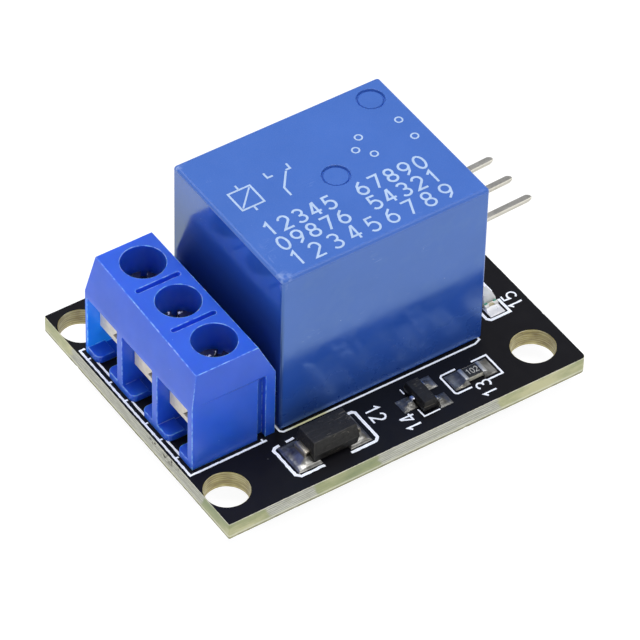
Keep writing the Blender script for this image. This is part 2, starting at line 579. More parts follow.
def finish(ob, body, slot, mats, *replaced, smooth=35, weighted=True):
    ob.data.transform(TO_ROW)
    which = [p.material_index for p in ob.data.polygons]
    ob.data.materials.clear()
    for m in mats:
        ob.data.materials.append(m)
    ob.data.polygons.foreach_set("material_index", [min(i, len(mats) - 1) for i in which])
    ob.data.shade_smooth()
    ob.data.set_sharp_from_angle(angle=radians(smooth))
    if weighted:
        w = ob.modifiers.new("normals", "WEIGHTED_NORMAL")
        w.keep_sharp, w.weight = True, 60
        apply_all(ob)
    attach(ob, body)
    if replaced:
        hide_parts(*replaced)
    return ob


def box_bm(bm, x0, x1, y0, y1, z0, z1):
    v = [bm.verts.new(p) for p in ((x0, y0, z0), (x1, y0, z0), (x1, y1, z0), (x0, y1, z0),
                                   (x0, y0, z1), (x1, y0, z1), (x1, y1, z1), (x0, y1, z1))]
    for f in ((0, 3, 2, 1), (4, 5, 6, 7), (0, 1, 5, 4), (1, 2, 6, 5), (2, 3, 7, 6), (3, 0, 4, 7)):
        bm.faces.new([v[i] for i in f])
    return v


def box(*a):
    bm = bmesh.new()
    box_bm(bm, *a)
    return obj("tool", bm)


def frustum_bm(bm, rects):
    """rects are (x0, x1, y0, y1, z), stacked."""
    rings = [[bm.verts.new(p) for p in ((x0, y0, z), (x1, y0, z), (x1, y1, z), (x0, y1, z))] for x0, x1, y0, y1, z in rects]
    bm.faces.new(rings[0][::-1])
    bm.faces.new(rings[-1])
    for a, b in zip(rings, rings[1:]):
        for i in range(4):
            j = (i + 1) % 4
            bm.faces.new((a[i], a[j], b[j], b[i]))


def prism_bm(bm, pts, vec):
    vec = Vector(vec)
    a = [bm.verts.new(p) for p in pts]
    b = [bm.verts.new(Vector(p) + vec) for p in pts]
    bm.faces.new(a[::-1])
    bm.faces.new(b)
    n = len(a)
    for i in range(n):
        j = (i + 1) % n
        bm.faces.new((a[i], a[j], b[j], b[i]))


def prism(pts, vec):
    bm = bmesh.new()
    prism_bm(bm, pts, vec)
    return obj("tool", bm)


def lathe_bm(bm, x, y, profile, seg=48, wob=0.0, seed=0.0):
    """profile is (radius, z) from bottom to top, closed on the axis where the radius is 0."""
    rings = []
    for r, z in profile:
        if r < 1e-6:
            rings.append([bm.verts.new((x, y, z))])
        else:
            ring = []
            for k in range(seg):
                a = 2 * pi * k / seg
                q = 1 + wob * noise.noise(Vector((cos(a) * 1.3 + seed, sin(a) * 1.3, z * 1.7 + seed)))
                ring.append(bm.verts.new((x + r * q * cos(a), y + r * q * sin(a), z)))
            rings.append(ring)
    for a, b in zip(rings, rings[1:]):
        if len(a) == 1 and len(b) == 1:
            continue
        for k in range(seg):
            j = (k + 1) % seg
            if len(a) == 1:
                bm.faces.new((a[0], b[j], b[k]))
            elif len(b) == 1:
                bm.faces.new((a[k], a[j], b[0]))
            else:
                bm.faces.new((a[k], a[j], b[j], b[k]))
    return rings


def cyl(x, y, z0, z1, r, seg=64):
    bm = bmesh.new()
    lathe_bm(bm, x, y, [(0, z0), (r, z0), (r, z1), (0, z1)], seg)
    return obj("tool", bm)


def rounded(x0, x1, y0, y1, r, n=8):
    """Anticlockwise rounded rectangle; r is a number or four corner radii from the near left."""
    rs = r if isinstance(r, (tuple, list)) else (r,) * 4
    out = []
    for cx, cy, s, q in ((x0, y0, pi, rs[0]), (x1, y0, 1.5 * pi, rs[1]), (x1, y1, 0, rs[2]), (x0, y1, 0.5 * pi, rs[3])):
        ox = cx + (q if cx == x0 else -q)
        oy = cy + (q if cy == y0 else -q)
        for k in range(n + 1):
            a = s + k * 0.5 * pi / n
            out.append((ox + q * cos(a), oy + q * sin(a)))
    return out


# ----------------------------------------------------------------------- board
HOLES = [(1.90, 3.08), (30.76, 3.08), (1.90, 24.28), (30.76, 24.28)]
YAW = radians(3.0)
TAILS = [(29.37 - sin(YAW) * 2.54 * k, 17.78 + cos(YAW) * 2.54 * k) for k in (1, 0, -1)]
POLES = (9.04, 14.12, 19.20)
DRILLS = [(6.80, y, 0.65) for y in POLES] + [(11.22, 13.84, 0.65), (13.22, 7.84, 0.55), (13.22, 19.84, 0.55),
                                             (25.42, 7.84, 0.65), (25.42, 19.84, 0.65)] + [(x, y, 0.52) for x, y in TAILS]


BX, BY0, BY = 33.64, -0.15, 26.82


def fibre_zone(x, y, z):
    """1 where the board's edge is snapped and fibrous, 0 where it is milled."""
    def soft(v, a, b):
        v += 0.35 * (z + 0.8) + 0.30 * noise.noise(Vector((v * 1.4, z * 3.0, 2.0)))
        return max(0.0, min(1.0, (v - a) / 0.25 + 0.5)) * max(0.0, min(1.0, (b - v) / 0.25 + 0.5))
    if y < 0.35:
        return max(soft(x, 3.6, 8.0), soft(x, 13.9, 25.3))
    if x < 0.5:
        return soft(y, 3.6, 22.8)
    if y > 26.30:
        return max(soft(x, 6.0, 12.5), soft(x, 19.0, 29.0))
    return soft(y, 5.5, 22.0)


def make_board():
    raw = rounded(0, BX, BY0, BY, (0.12, 0.42, 0.35, 0.15), 6)
    pts = []
    for (ax, ay), (bx, by) in zip(raw, raw[1:] + raw[:1]):
        L = hypot(bx - ax, by - ay)
        n = max(1, int(L / 0.11))
        pts += [(ax + (bx - ax) * k / n, ay + (by - ay) * k / n) for k in range(n)]
    bm = bmesh.new()
    fib = bm.verts.layers.float.new("fibre")
    zs = [-1.6, -1.57, -1.48] + [-1.4 + 0.1 * k for k in range(13)] + [-0.12, -0.03, 0.0]
    rings = []
    cx, cy = 16.75, 13.375
    for iz, z in enumerate(zs):
        ring = []
        for x, y in pts:
            f = fibre_zone(x, y, z)
            # inward direction
            dx = 1.0 if x < 0.06 else (-1.0 if x > BX - 0.06 else 0.0)
            dy = 1.0 if y < BY0 + 0.06 else (-1.0 if y > BY - 0.06 else 0.0)
            if dx == 0 and dy == 0:
                dx, dy = (cx - x) / 25, (cy - y) / 25
            t = abs(z + 0.8) / 0.8
            along = x + y
            lay = noise.noise(Vector((along * 0.5, z * 9.0, 3.1)))
            fine = noise.noise(Vector((along * 4.0, z * 12.0, 9.7)))
            rough = 0.5 + 0.5 * noise.noise(Vector((along * 1.7, 0.0, 5.0)))
            ins = f * (0.016 * t ** 3 + 0.018 + 0.014 * lay + 0.014 * fine + 0.014 * rough) + (1 - f) * (0.010 + 0.008 * fine + 0.02 * max(0.0, t - 0.93) / 0.07)
            # small broken flakes along the lower and upper rims
            ins += f * max(0.0, noise.noise(Vector((along * 2.3, z * 1.5, 21.0))) - 0.42) * 0.12 * t
            ins = max(0.0, ins)
            v = bm.verts.new((x + dx * ins, y + dy * ins, z))
            v[fib] = f
            ring.append(v)
        rings.append(ring)
    n = len(pts)
    for a, b in zip(rings, rings[1:]):
        for i in range(n):
            j = (i + 1) % n
            f = bm.faces.new((a[i], a[j], b[j], b[i]))
            f.material_index = 1
    loops = {0: [rings[0]], 1: [rings[-1]]}
    spec = [(x, y, 1.84, 96) for x, y in HOLES] + [(x, y, r, 24) for x, y, r in DRILLS]
    for hx, hy, r, seg in spec:
        hz = [-1.6, -1.57, -1.3, -1.0, -0.7, -0.4, -0.15, -0.03, 0.0]
        hr = []
        for z in hz:
            ring = []
            for k in range(seg):
                a = 2 * pi * k / seg
                lip = 0.035 if z in (0.0, -1.6) else 0.0
                q = r + lip
                if r > 1.5:
                    q += 0.018 * noise.noise(Vector((cos(a) * 2.2 + hx, sin(a) * 2.2 + hy, z * 7.0)))
                    q += 0.012 * noise.noise(Vector((cos(a) * 9 + hx, sin(a) * 9 + hy, z * 3.0)))
                ring.append(bm.verts.new((hx + q * cos(a), hy + q * sin(a), z)))
            hr.append(ring)
        for a, b in zip(hr, hr[1:]):
            for k in range(seg):
                j = (k + 1) % seg
                f = bm.faces.new((a[j], a[k], b[k], b[j]))
                f.material_index = 2 if r > 1.5 else 3
        loops[0].append(hr[0])
        loops[1].append(hr[-1])
    for key in (0, 1):
        flat = [v for loop in loops[key] for v in loop]
        for tri in tessellate_polygon([[v.co for v in loop] for loop in loops[key]]):
            try:
                f = bm.faces.new([flat[i] for i in tri])
                f.material_index = 0
            except ValueError:
                pass
    ob = obj("circuit_board", bm)
    # a face's index says its material, so the wall normals and flats keep their own look
    finish(ob, "module", "board", [MASK, EDGE, HOLE, TIN], "board", smooth=40, weighted=False)
    for f in ob.data.polygons:
        if f.material_index == 0:
            f.use_smooth = False
    return ob


make_board()


# ---------------------------------------------------------------- screen print
def strip_bm(bm, pts, w, z0, z1, seed, closed=False, jag=0.012):
    """A printed line with slightly uneven edges, as a thin closed band."""
    fine = []
    m = len(pts)
    segs = m if closed else m - 1
    corners = set()
    for i in range(segs):
        ax, ay = pts[i]
        bx, by = pts[(i + 1) % m]
        L = hypot(bx - ax, by - ay)
        n = max(1, int(L / 0.22))
        corners.add(len(fine))
        fine += [(ax + (bx - ax) * k / n, ay + (by - ay) * k / n) for k in range(n)]
    if not closed:
        fine.append(pts[-1])
    n = len(fine)
    left, right = [], []
    for i, (x, y) in enumerate(fine):
        if closed:
            p, q = fine[i - 1], fine[(i + 1) % n]
        else:
            p, q = fine[max(0, i - 1)], fine[min(n - 1, i + 1)]
        d1 = Vector((x - p[0], y - p[1]))
        d2 = Vector((q[0] - x, q[1] - y))
        if d1.length < 1e-9:
            d1 = d2
        if d2.length < 1e-9:
            d2 = d1
        n1 = Vector((-d1.y, d1.x)).normalized()
        n2 = Vector((-d2.y, d2.x)).normalized()
        nn = (n1 + n2).normalized()
        k = 1.0 / max(0.35, nn.dot(n1))
        ja = jag * noise.noise(Vector((x * 3.1, y * 3.1, seed)))
        jb = jag * noise.noise(Vector((x * 3.1, y * 3.1, seed + 7)))
        left.append((x + nn.x * (w / 2 + ja) * k, y + nn.y * (w / 2 + ja) * k))
        right.append((x - nn.x * (w / 2 + jb) * k, y - nn.y * (w / 2 + jb) * k))
    vs = [[bm.verts.new((*p, z)) for p in side] for side, z in ((left, z0), (right, z0), (left, z1), (right, z1))]
    L0, R0, L1, R1 = vs
    last = n if closed else n - 1
    for i in range(last):
        j = (i + 1) % n
        bm.faces.new((L1[i], R1[i], R1[j], L1[j]))
        bm.faces.new((L0[i], L0[j], R0[j], R0[i]))
        bm.faces.new((L0[i], L1[i], L1[j], L0[j]))
        bm.faces.new((R0[i], R0[j], R1[j], R1[i]))
    if not closed:
        bm.faces.new((L0[0], R0[0], R1[0], L1[0]))
        bm.faces.new((L0[-1], L1[-1], R1[-1], R0[-1]))


def arc(cx, cy, rx, ry, a, b, n=14):
    return [(cx + rx * cos(radians(a + (b - a) * k / n)), cy + ry * sin(radians(a + (b - a) * k / n))) for k in range(n + 1)]


# plain digits as strokes in a box 0.6 wide and 1 high; True marks a closed stroke
STROKES = {
    "0": [(arc(0.3, 0.5, 0.3, 0.5, 0, 346), True)],
    "1": [([(0.08, 0.78), (0.34, 1.0), (0.34, 0.0)], False)],
    "2": [(arc(0.3, 0.70, 0.29, 0.30, 165, -25) + [(0.0, 0.0), (0.6, 0.0)], False)],
    "3": [(arc(0.28, 0.75, 0.27, 0.25, 150, -85), False), (arc(0.28, 0.25, 0.31, 0.26, 100, -150), False)],
    "4": [([(0.62, 0.27), (0.02, 0.27), (0.36, 1.0)], False), ([(0.42, 1.05), (0.42, 0.0)], False)],
    "5": [([(0.54, 1.0), (0.10, 1.0), (0.05, 0.56)] + arc(0.27, 0.32, 0.32, 0.32, 110, -145), False)],
    "6": [(arc(0.3, 0.30, 0.3, 0.30, 0, 346), True), ([(0.03, 0.42), (0.16, 0.76), (0.44, 1.0)], False)],
    "7": [([(0.0, 1.0), (0.6, 1.0), (0.2, 0.0)], False)],
    "8": [(arc(0.3, 0.75, 0.25, 0.25, 0, 346), True), (arc(0.3, 0.26, 0.3, 0.26, 0, 346), True)],
    "9": [(arc(0.3, 0.70, 0.3, 0.30, 0, 346), True), ([(0.57, 0.58), (0.44, 0.24), (0.16, 0.0)], False)],
}


def digits_into(bm, text, x, y, h, step, w, angle, z0, z1, mirror=1, wide=0.95, jag=0.014):
    """Plain digits laid flat from the lower left corner (x, y) along the given angle."""
    ca, sa = cos(radians(angle)), sin(radians(angle))
    for i, ch in enumerate(text):
        for k, (pts, closed) in enumerate(STROKES[ch]):
            out = []
            for a, b in pts:
                u, v = mirror * (i * step + a * h * wide), b * h
                out.append((x + u * ca - v * sa, y + u * sa + v * ca))
            strip_bm(bm, out, w, z0 - 0.002 * k, z1 - 0.003 * k, 7.0 * i + k + y, closed, jag)


def make_screen_print():
    Z0, Z1 = -0.004, 0.018
    bm = bmesh.new()
    s = lambda pts, w, seed, closed=False, jag=0.02: strip_bm(bm, pts, w, Z0, Z1, seed, closed, jag)
    # terminal block outline: double line with ticks along the front
    s([(0.80, 21.94), (0.33, 21.94), (0.33, 5.82), (7.35, 5.82)], 0.18, 1.0, jag=0.05)
    for y in POLES:
        s([(0.84, y - 0.95), (0.84, y + 0.95)], 0.17, 2.0 + y, jag=0.04)
    for t in (20.80, 17.70, 15.35, 12.40, 10.30, 8.00):
        s([(0.40, t), (0.64, t)], 0.16, 3.0 + t, jag=0.03)
    s([(7.05, 5.89), (7.05, 6.14)], 0.13, 4.0)
    # relay outline
    c, d = 0.62, 0.22
    x0, x1, y0, y1 = 8.74, 28.14, 5.89, 21.80
    s([(x0, y0 + d), (x0 + d, y0), (x1 - 1.10, y0 - 0.10), (x1 - 0.52, y0 + 0.13), (x1 - 0.56, y0 + 0.55), (x1 - 0.24, y1 - c), (x1 - c, y1), (x0 + d, y1), (x0, y1 - d)], 0.165, 5.0, True)
    # diode
    s([(9.68, 1.18), (7.52, 1.18), (7.18, 1.52), (7.18, 4.56), (7.40, 4.78), (7.86, 4.83)], 0.25, 6.0, jag=0.06)
    s([(8.50, 4.86), (9.26, 4.92)], 0.20, 7.0, jag=0.06)
    s([(12.15, 1.18), (14.46, 1.18), (14.79, 1.50), (14.79, 4.60), (14.58, 4.80), (14.16, 4.80)], 0.25, 8.0, jag=0.05)
    # transistor
    s([(19.16, 4.80), (19.16, 4.20)], 0.12, 9.0)
    s([(19.12, 2.25), (19.14, 1.36), (20.62, 1.36)], 0.13, 10.0)
    s([(20.74, 3.35), (20.74, 2.95)], 0.12, 11.0)
    s([(19.62, 4.80), (20.74, 4.80)], 0.12, 11.5)
    # chip resistor
    s([(24.10, 4.32), (22.76, 4.32), (22.58, 4.15), (22.58, 2.16), (22.76, 1.99), (24.10, 1.99)], 0.16, 12.0)
    s([(25.60, 4.32), (27.04, 4.32), (27.04, 1.99), (25.60, 1.99)], 0.16, 13.0)
    # chip resistor behind the relay
    s([(24.10, 25.25), (22.68, 25.25), (22.68, 23.05), (24.10, 23.05)], 0.16, 14.0)
    s([(25.60, 25.25), (27.02, 25.25), (27.02, 23.05), (25.60, 23.05)], 0.16, 15.0)
    # lamp
    s([(29.42, 8.95), (29.42, 7.58), (29.66, 7.30), (31.52, 7.30), (31.52, 8.95)], 0.24, 16.0)
    s([(29.42, 9.95), (29.42, 11.26), (29.66, 11.52), (31.52, 11.52), (31.52, 9.95)], 0.24, 17.0)
    d = lambda text, x, y, angle: digits_into(bm, text, x, y, 1.20, 0.98, 0.15, angle, Z0, Z1, jag=0.03)
    d("12", 15.45, 4.50, -90)
    d("13", 25.62, 0.45, 90)
    d("14", 18.52, 0.58, 90)
    d("15", 33.02, 7.45, 90)
    d("16", 21.90, 23.40, 90)
    # underside: pole and pin numbers
    zb = -1.6 - 0.018
    for k, y in enumerate(POLES, 1):
        digits_into(bm, str(k), 4.9, y - 0.6, 1.25, 1.0, 0.16, 0, zb + 0.003, zb + 0.022, -1)
    for k, (x, y) in enumerate(TAILS, 1):
        digits_into(bm, str(k), 32.0, y - 0.5, 1.05, 1.0, 0.14, 0, zb + 0.003, zb + 0.022, -1)
    strip_bm(bm, rounded(8.6, 28.1, 6.1, 21.6, 0.8, 4), 0.18, zb, -1.6 + 0.004, 20.0, True)
    strip_bm(bm, rounded(1.2, 8.1, 6.1, 21.8, 0.3, 3), 0.18, zb, -1.6 + 0.004, 21.0, True)
    ob = obj("screen_print", bm)
    return finish(ob, "module", "board", [SILK], smooth=30, weighted=False)


make_screen_print()


# ------------------------------------------------- soldered lands on the board
def mound_bm(bm, x0, x1, y0, y1, lead, H, s, dome, seed, nx=44, ny=44, base=0.035, lump=0.007):
    """Solder over a land, climbing to height H round the lead's footprint."""
    lx0, lx1, ly0, ly1 = lead
    grid = []
    for i in range(nx + 1):
        row = []
        for j in range(ny + 1):
            x = x0 + (x1 - x0) * i / nx
            y = y0 + (y1 - y0) * j / ny
            e = min(x - x0, x1 - x, y - y0, y1 - y)
            edge = min(1.0, e / 0.16)
            edge = edge * edge * (3 - 2 * edge)
            dx = max(lx0 - x, 0, x - lx1)
            dy = max(ly0 - y, 0, y - ly1)
            d = hypot(dx, dy)
            climb = H * exp(-(d / s) ** 1.15)
            n = noise.noise(Vector((x * 1.9, y * 1.9, seed))) * lump * 2 + noise.noise(Vector((x * 5.1, y * 5.1, seed + 5))) * lump * 0.7
            row.append(bm.verts.new((x, y, base + edge * (dome + climb + n))))
        grid.append(row)
    for i in range(nx):
        for j in range(ny):
            bm.faces.new((grid[i][j], grid[i + 1][j], grid[i + 1][j + 1], grid[i][j + 1]))
    rim = [grid[i][0] for i in range(nx + 1)] + [grid[nx][j] for j in range(1, ny + 1)] + \
          [grid[i][ny] for i in range(nx - 1, -1, -1)] + [grid[0][j] for j in range(ny - 1, 0, -1)]
    low = [bm.verts.new((v.co.x, v.co.y, -0.002)) for v in rim]
    for k in range(len(rim)):
        j = (k + 1) % len(rim)
        bm.faces.new((rim[k], low[k], low[j], rim[j]))
    bm.faces.new(low)


D1, Q1, R1, R2, D2 = (11.03, 2.85), (19.93, 3.05), (24.85, 3.10), (24.85, 24.15), (30.50, 9.40)


def make_surface_solder():
    bm = bmesh.new()
    m = lambda *a, **k: mound_bm(bm, *a, **k)
    m(7.50, 9.70, 1.45, 4.60, (8.42, 9.8, 2.16, 3.54), 0.52, 0.36, 0.10, 1.0, nx=60, ny=72)
    m(12.30, 14.30, 1.45, 4.60, (12.3, 13.64, 2.16, 3.54), 0.55, 0.34, 0.08, 2.0, nx=56, ny=72)
    m(18.00, 19.30, 2.42, 3.83, (18.66, 19.3, 2.94, 3.26), 0.26, 0.20, 0.05, 3.0)
    m(20.72, 21.90, 1.35, 2.72, (20.7, 21.20, 1.94, 2.26), 0.26, 0.20, 0.05, 4.0)
    m(20.72, 21.90, 3.50, 4.88, (20.7, 21.20, 3.87, 4.19), 0.26, 0.20, 0.05, 5.0)
    m(22.80, 24.20, 2.28, 4.04, (23.84, 24.3, 2.50, 3.70), 0.36, 0.24, 0.055, 6.0)
    m(25.55, 26.75, 2.28, 4.04, (25.4, 25.86, 2.50, 3.70), 0.36, 0.22, 0.055, 7.0)
    m(22.90, 24.20, 23.27, 25.03, (23.84, 24.3, 23.55, 24.75), 0.36, 0.24, 0.055, 8.0)
    m(25.50, 26.80, 23.27, 25.03, (25.4, 25.86, 23.55, 24.75), 0.36, 0.24, 0.055, 9.0)
    lamp = bmesh.new()
    mound_bm(lamp, 29.80, 31.20, 7.52, 8.75, (29.95, 31.05, 8.42, 8.9), 0.16, 0.16, 0.03, 10.0)
    mound_bm(lamp, 29.80, 31.20, 10.05, 11.28, (29.95, 31.05, 9.9, 10.38), 0.16, 0.16, 0.03, 11.0)
    finish(obj("lamp_solder_coat", lamp), "module", "solder", [BRIGHT], smooth=50, weighted=False)
    ob = obj("surface_solder_coat", bm)
    finish(ob, "module", "solder", [SOLDER], "surface_solder", smooth=50, weighted=False)
    # rings round the plated holes
    bm = bmesh.new()
    for x, y, r in DRILLS:
        for z0, z1, w, there in ((-1.638, -1.59, 0.50, True), (-0.01, 0.036, 0.38, r < 0.53)):
            if not there:
                continue
            seg = 40
            prof = [(r, z0), (r + w - 0.03, z0), (r + w, (z0 + z1) / 2), (r + w - 0.03, z1), (r, z1)]
            rings = [[bm.verts.new((x + q * cos(2 * pi * k / seg), y + q * sin(2 * pi * k / seg), z)) for k in range(seg)] for q, z in prof]
            for a, b in zip(rings, rings[1:] + rings[:1]):
                for k in range(seg):
                    j = (k + 1) % seg
                    bm.faces.new((a[k], a[j], b[j], b[k]))
    ob = obj("plated_rings", bm)
    finish(ob, "module", "tinned_copper", [TIN], "solder_pads", smooth=40, weighted=False)


make_surface_solder()


# ------------------------------------------------------- through-hole soldering
def make_joints():
    bm = bmesh.new()
    for i, (x, y, r) in enumerate(DRILLS):
        ro = r + 0.47
        prof = [(0, -3.09), (0.16, -3.09), (0.30, -3.06), (0.40, -2.95)]
        for k in range(1, 13):
            t = k / 12
            prof.append((0.40 + (ro - 0.40) * t ** 2.4, -2.95 + (2.95 - 1.645) * t))
        prof.append((ro - 0.04, -1.62))
        prof.append((0, -1.62))
        lathe_bm(bm, x, y, prof, 40, wob=0.05, seed=i * 3.7)
    ob = obj("through_hole_solder", bm)
    finish(ob, "module", "solder", [SOLDER], "solder_joints", smooth=55, weighted=False)


make_joints()


# --------------------------------------------------------------- traces beneath
def make_traces():
    bm = bmesh.new()
    z0, z1 = -1.612, -1.596
    runs = [([(6.8, 9.04), (9.5, 9.04), (11.22, 11.2), (11.22, 13.84)], 2.0),
            ([(6.8, 14.12), (8.6, 14.9), (9.6, 17.2), (12.0, 22.6), (22.6, 22.6), (25.42, 19.84)], 2.0),
            ([(6.8, 19.20), (4.6, 22.2), (4.6, 24.2)], 1.6),
            ([(13.22, 7.84), (13.22, 5.3), (11.2, 3.6)], 0.5),
            ([(13.22, 19.84), (15.4, 17.7), (27.0, 17.7), (TAILS[1][0], TAILS[1][1])], 0.5),
            ([(20.0, 3.1), (20.0, 5.6), (27.4, 13.0), (TAILS[2][0], TAILS[2][1])], 0.35),
            ([(25.42, 7.84), (23.0, 10.2), (17.6, 10.2), (15.4, 12.4)], 1.8)]
    step = 0
    for pts, w in runs:
        for (ax, ay), (bx, by) in zip(pts, pts[1:]):
            # one round-ended length of copper, each a hair lower than the one before
            t = atan2(by - ay, bx - ax)
            ring = [(bx + 0.5 * w * cos(t - 0.5 * pi + pi * i / 10), by + 0.5 * w * sin(t - 0.5 * pi + pi * i / 10)) for i in range(11)]
            ring += [(ax + 0.5 * w * cos(t + 0.5 * pi + pi * i / 10), ay + 0.5 * w * sin(t + 0.5 * pi + pi * i / 10)) for i in range(11)]
            low = z0 + 0.0004 * step
            prism_bm(bm, [(px, py, low) for px, py in ring], (0, 0, z1 - low))
            step += 1
    ob = obj("covered_traces", bm)
    finish(ob, "module", "board", [MASK], smooth=30, weighted=False)


make_traces()


# ----------------------------------------------------------------- relay cover
RX0, RX1, RY0, RY1, RZ0, RZT = 8.76, 27.92, 6.13, 21.49, 0.10, 16.125


def make_relay():
    bm = bmesh.new()
    R, T = 0.24, 0.32
    rings = []

    def ring(ins, z):
        rings.append([bm.verts.new((x, y, z)) for x, y in rounded(RX0 + ins, RX1 - ins, RY0 + ins, RY1 - ins, max(R - 0.3 * ins, 0.15), 8)])

    ring(0.06, RZ0)
    ring(0.0, RZ0 + 0.08)
    ring(0.0, RZT - T)
    for k in range(1, 8):
        a = k * 0.5 * pi / 7
        ring(T * (1 - cos(a)), RZT - T + T * sin(a))
    n = len(rings[0])
    for a, b in zip(rings, rings[1:]):
        for i in range(n):
            j = (i + 1) % n
            bm.faces.new((a[i], a[j], b[j], b[i]))
    bm.faces.new(rings[0][::-1])
    bm.faces.new(rings[-1])
    ob = obj("relay_case", bm)
    boolean(ob, box(RX0 + 0.8, RX1 - 0.8, RY0 + 0.8, RY1 - 0.8, RZ0 - 1, RZT - 0.8))
    for x, y in ((25.92, 19.60), (18.74, 13.77)):
        bm = bmesh.new()
        r, d = 1.165, 0.10
        lathe_bm(bm, x, y, [(0, RZT - d), (r - 0.20, RZT - d), (r - 0.15, RZT - d - 0.05), (r - 0.12, RZT - d - 0.15), (r - 0.02, RZT - d - 0.15),
                            (r, RZT - d - 0.12), (r, RZT - 0.05),
                            (r + 0.015, RZT - 0.02), (r + 0.06, RZT + 0.0005), (r + 0.06, RZT + 0.5), (0, RZT + 0.5)], 72)
        boolean(ob, obj("tool", bm))
    for p in ob.data.polygons:
        p.material_index = 1 if p.center.z > RZT - 0.31 and p.normal.z > -0.5 else 0
    finish(ob, "module", "relay_plastic", [RELAY, RELAY_TOP], "relay_cover", smooth=35)
    return ob


make_relay()


def make_relay_print():
    """Plain digits and a plain contact diagram, no words."""
    bm = bmesh.new()
    z0, th = RZT - 0.004, 0.016

    def t(text, x, y, h, step, w):
        digits_into(bm, text, x, y, h, step, w, 0, z0, z0 + th)

    t("12345", 10.75, 10.78, 1.42, 1.36, 0.20)
    t("67890", 19.15, 10.78, 1.42, 1.36, 0.20)
    t("09876", 10.75, 8.92, 1.42, 1.36, 0.20)
    t("54321", 19.15, 8.92, 1.42, 1.36, 0.20)
    t("123456789", 10.75, 6.95, 1.52, 1.72, 0.19)
    s = lambda pts, w, seed, closed=False: strip_bm(bm, pts, w, z0, z0 + th, seed, closed, 0.01)
    # coil
    s([(10.5, 14.3), (12.5, 14.3), (12.5, 16.4), (10.5, 16.4)], 0.17, 40.0, True)
    s([(10.66, 14.47), (12.34, 16.23)], 0.14, 40.5)
    s([(11.5, 13.75), (11.5, 14.22)], 0.17, 41.0)
    s([(11.5, 16.48), (11.5, 16.95)], 0.17, 41.5)
    # changeover contact
    s([(14.6, 13.75), (14.6, 14.75), (15.75, 16.25)], 0.17, 42.0)
    s([(14.1, 16.95), (14.1, 16.35), (14.6, 16.35)], 0.17, 42.5)
    s([(16.2, 16.95), (16.2, 16.35), (15.8, 16.35)], 0.17, 43.0)
    # pin map
    for k, (x, y) in enumerate(((21.6, 15.3), (22.6, 14.2), (22.6, 16.4), (26.4, 14.2), (26.4, 16.4))):
        s([(x + 0.30 * cos(2 * pi * i / 20), y + 0.30 * sin(2 * pi * i / 20)) for i in range(20)], 0.13, 44.0 + k, True)
    ob = obj("relay_print", bm)
    finish(ob, "module", "relay_plastic", [PRINT], smooth=30, weighted=False)


make_relay_print()


# -------------------------------------------------------------- terminal block
def make_terminal():
    bm = bmesh.new()
    frustum_bm(bm, [(0.72, 8.36, 6.20, 21.70, 0.0), (0.72, 8.36, 6.20, 21.70, 6.72), (1.52, 6.92, 6.50, 21.70, 9.80)])
    for v in bm.verts:
        if v.co.z > 9 and v.co.x < 2:
            v.co.x = 1.26 if v.co.y < 10 else 1.74
    ob = obj("terminal_block", bm)
    for y in POLES:
        boolean(ob, box(2.30, 7.30, y - 2.17, y + 2.17, 0.50, 5.50))
        boolean(ob, box(-1, 2.40, y - 2.17, y + 2.17, 0.70, 5.50))
        boolean(ob, box(-1, 1.75, y - 2.17, y + 2.17, 0.70, 6.06))
        # floor slot with a rounded mouth
        m = [(-1.0, y - 1.15), (0.72, y - 1.15)]
        for k in range(1, 8):
            a = k * 0.5 * pi / 7
            m.append((1.22 - 0.5 * cos(a), y - 1.15 + 0.5 * sin(a)))
        m.append((6.0, y - 0.65))
        m = m + [(px, 2 * y - py) for px, py in m[::-1]]
        boolean(ob, prism([(px, py, -1.0) for px, py in m], (0, 0, 1.9)))
        boolean(ob, box(6.35, 7.25, y - 0.75, y + 0.75, -1, 0.60))
        boolean(ob, cyl(4.54, y, 6.0, 11, 1.825, 72))
        boolean(ob, cyl(4.54, y, 5.4, 6.1, 1.35, 48))
    for y in (11.58, 16.66):
        n = 8
        pts = [(6.12 + 0.22 * sin(pi * k / n), y - 0.22 * cos(pi * k / n)) for k in range(n + 1)]
        pts += [(2.50 - 0.22 * sin(pi * k / n), y + 0.22 * cos(pi * k / n)) for k in range(n + 1)]
        boolean(ob, prism([(a, b, 9.28) for a, b in pts], (0, 0, 2)))
    g = [(6.74, 5.7), (7.44, 5.7), (7.44, 6.20), (7.50, 6.78), (6.68, 6.78), (6.74, 6.20)]
    boolean(ob, prism([(a, b, -1) for a, b in g], (0, 0, 7.67)))
    clean(ob)
    bevel(ob, 0.055, 2, 30, slot=1)
    for p in ob.data.polygons:
        if p.center.z > 6.05 and abs(p.normal.z) < 0.5 and any(hypot(p.center.x - 4.54, p.center.y - y) < 1.815 for y in POLES):
            p.material_index = 2
    finish(ob, "module", "terminal_plastic", [TERM, TERM_EDGE, TERM_BORE], "terminal_housing", smooth=35)


make_terminal()


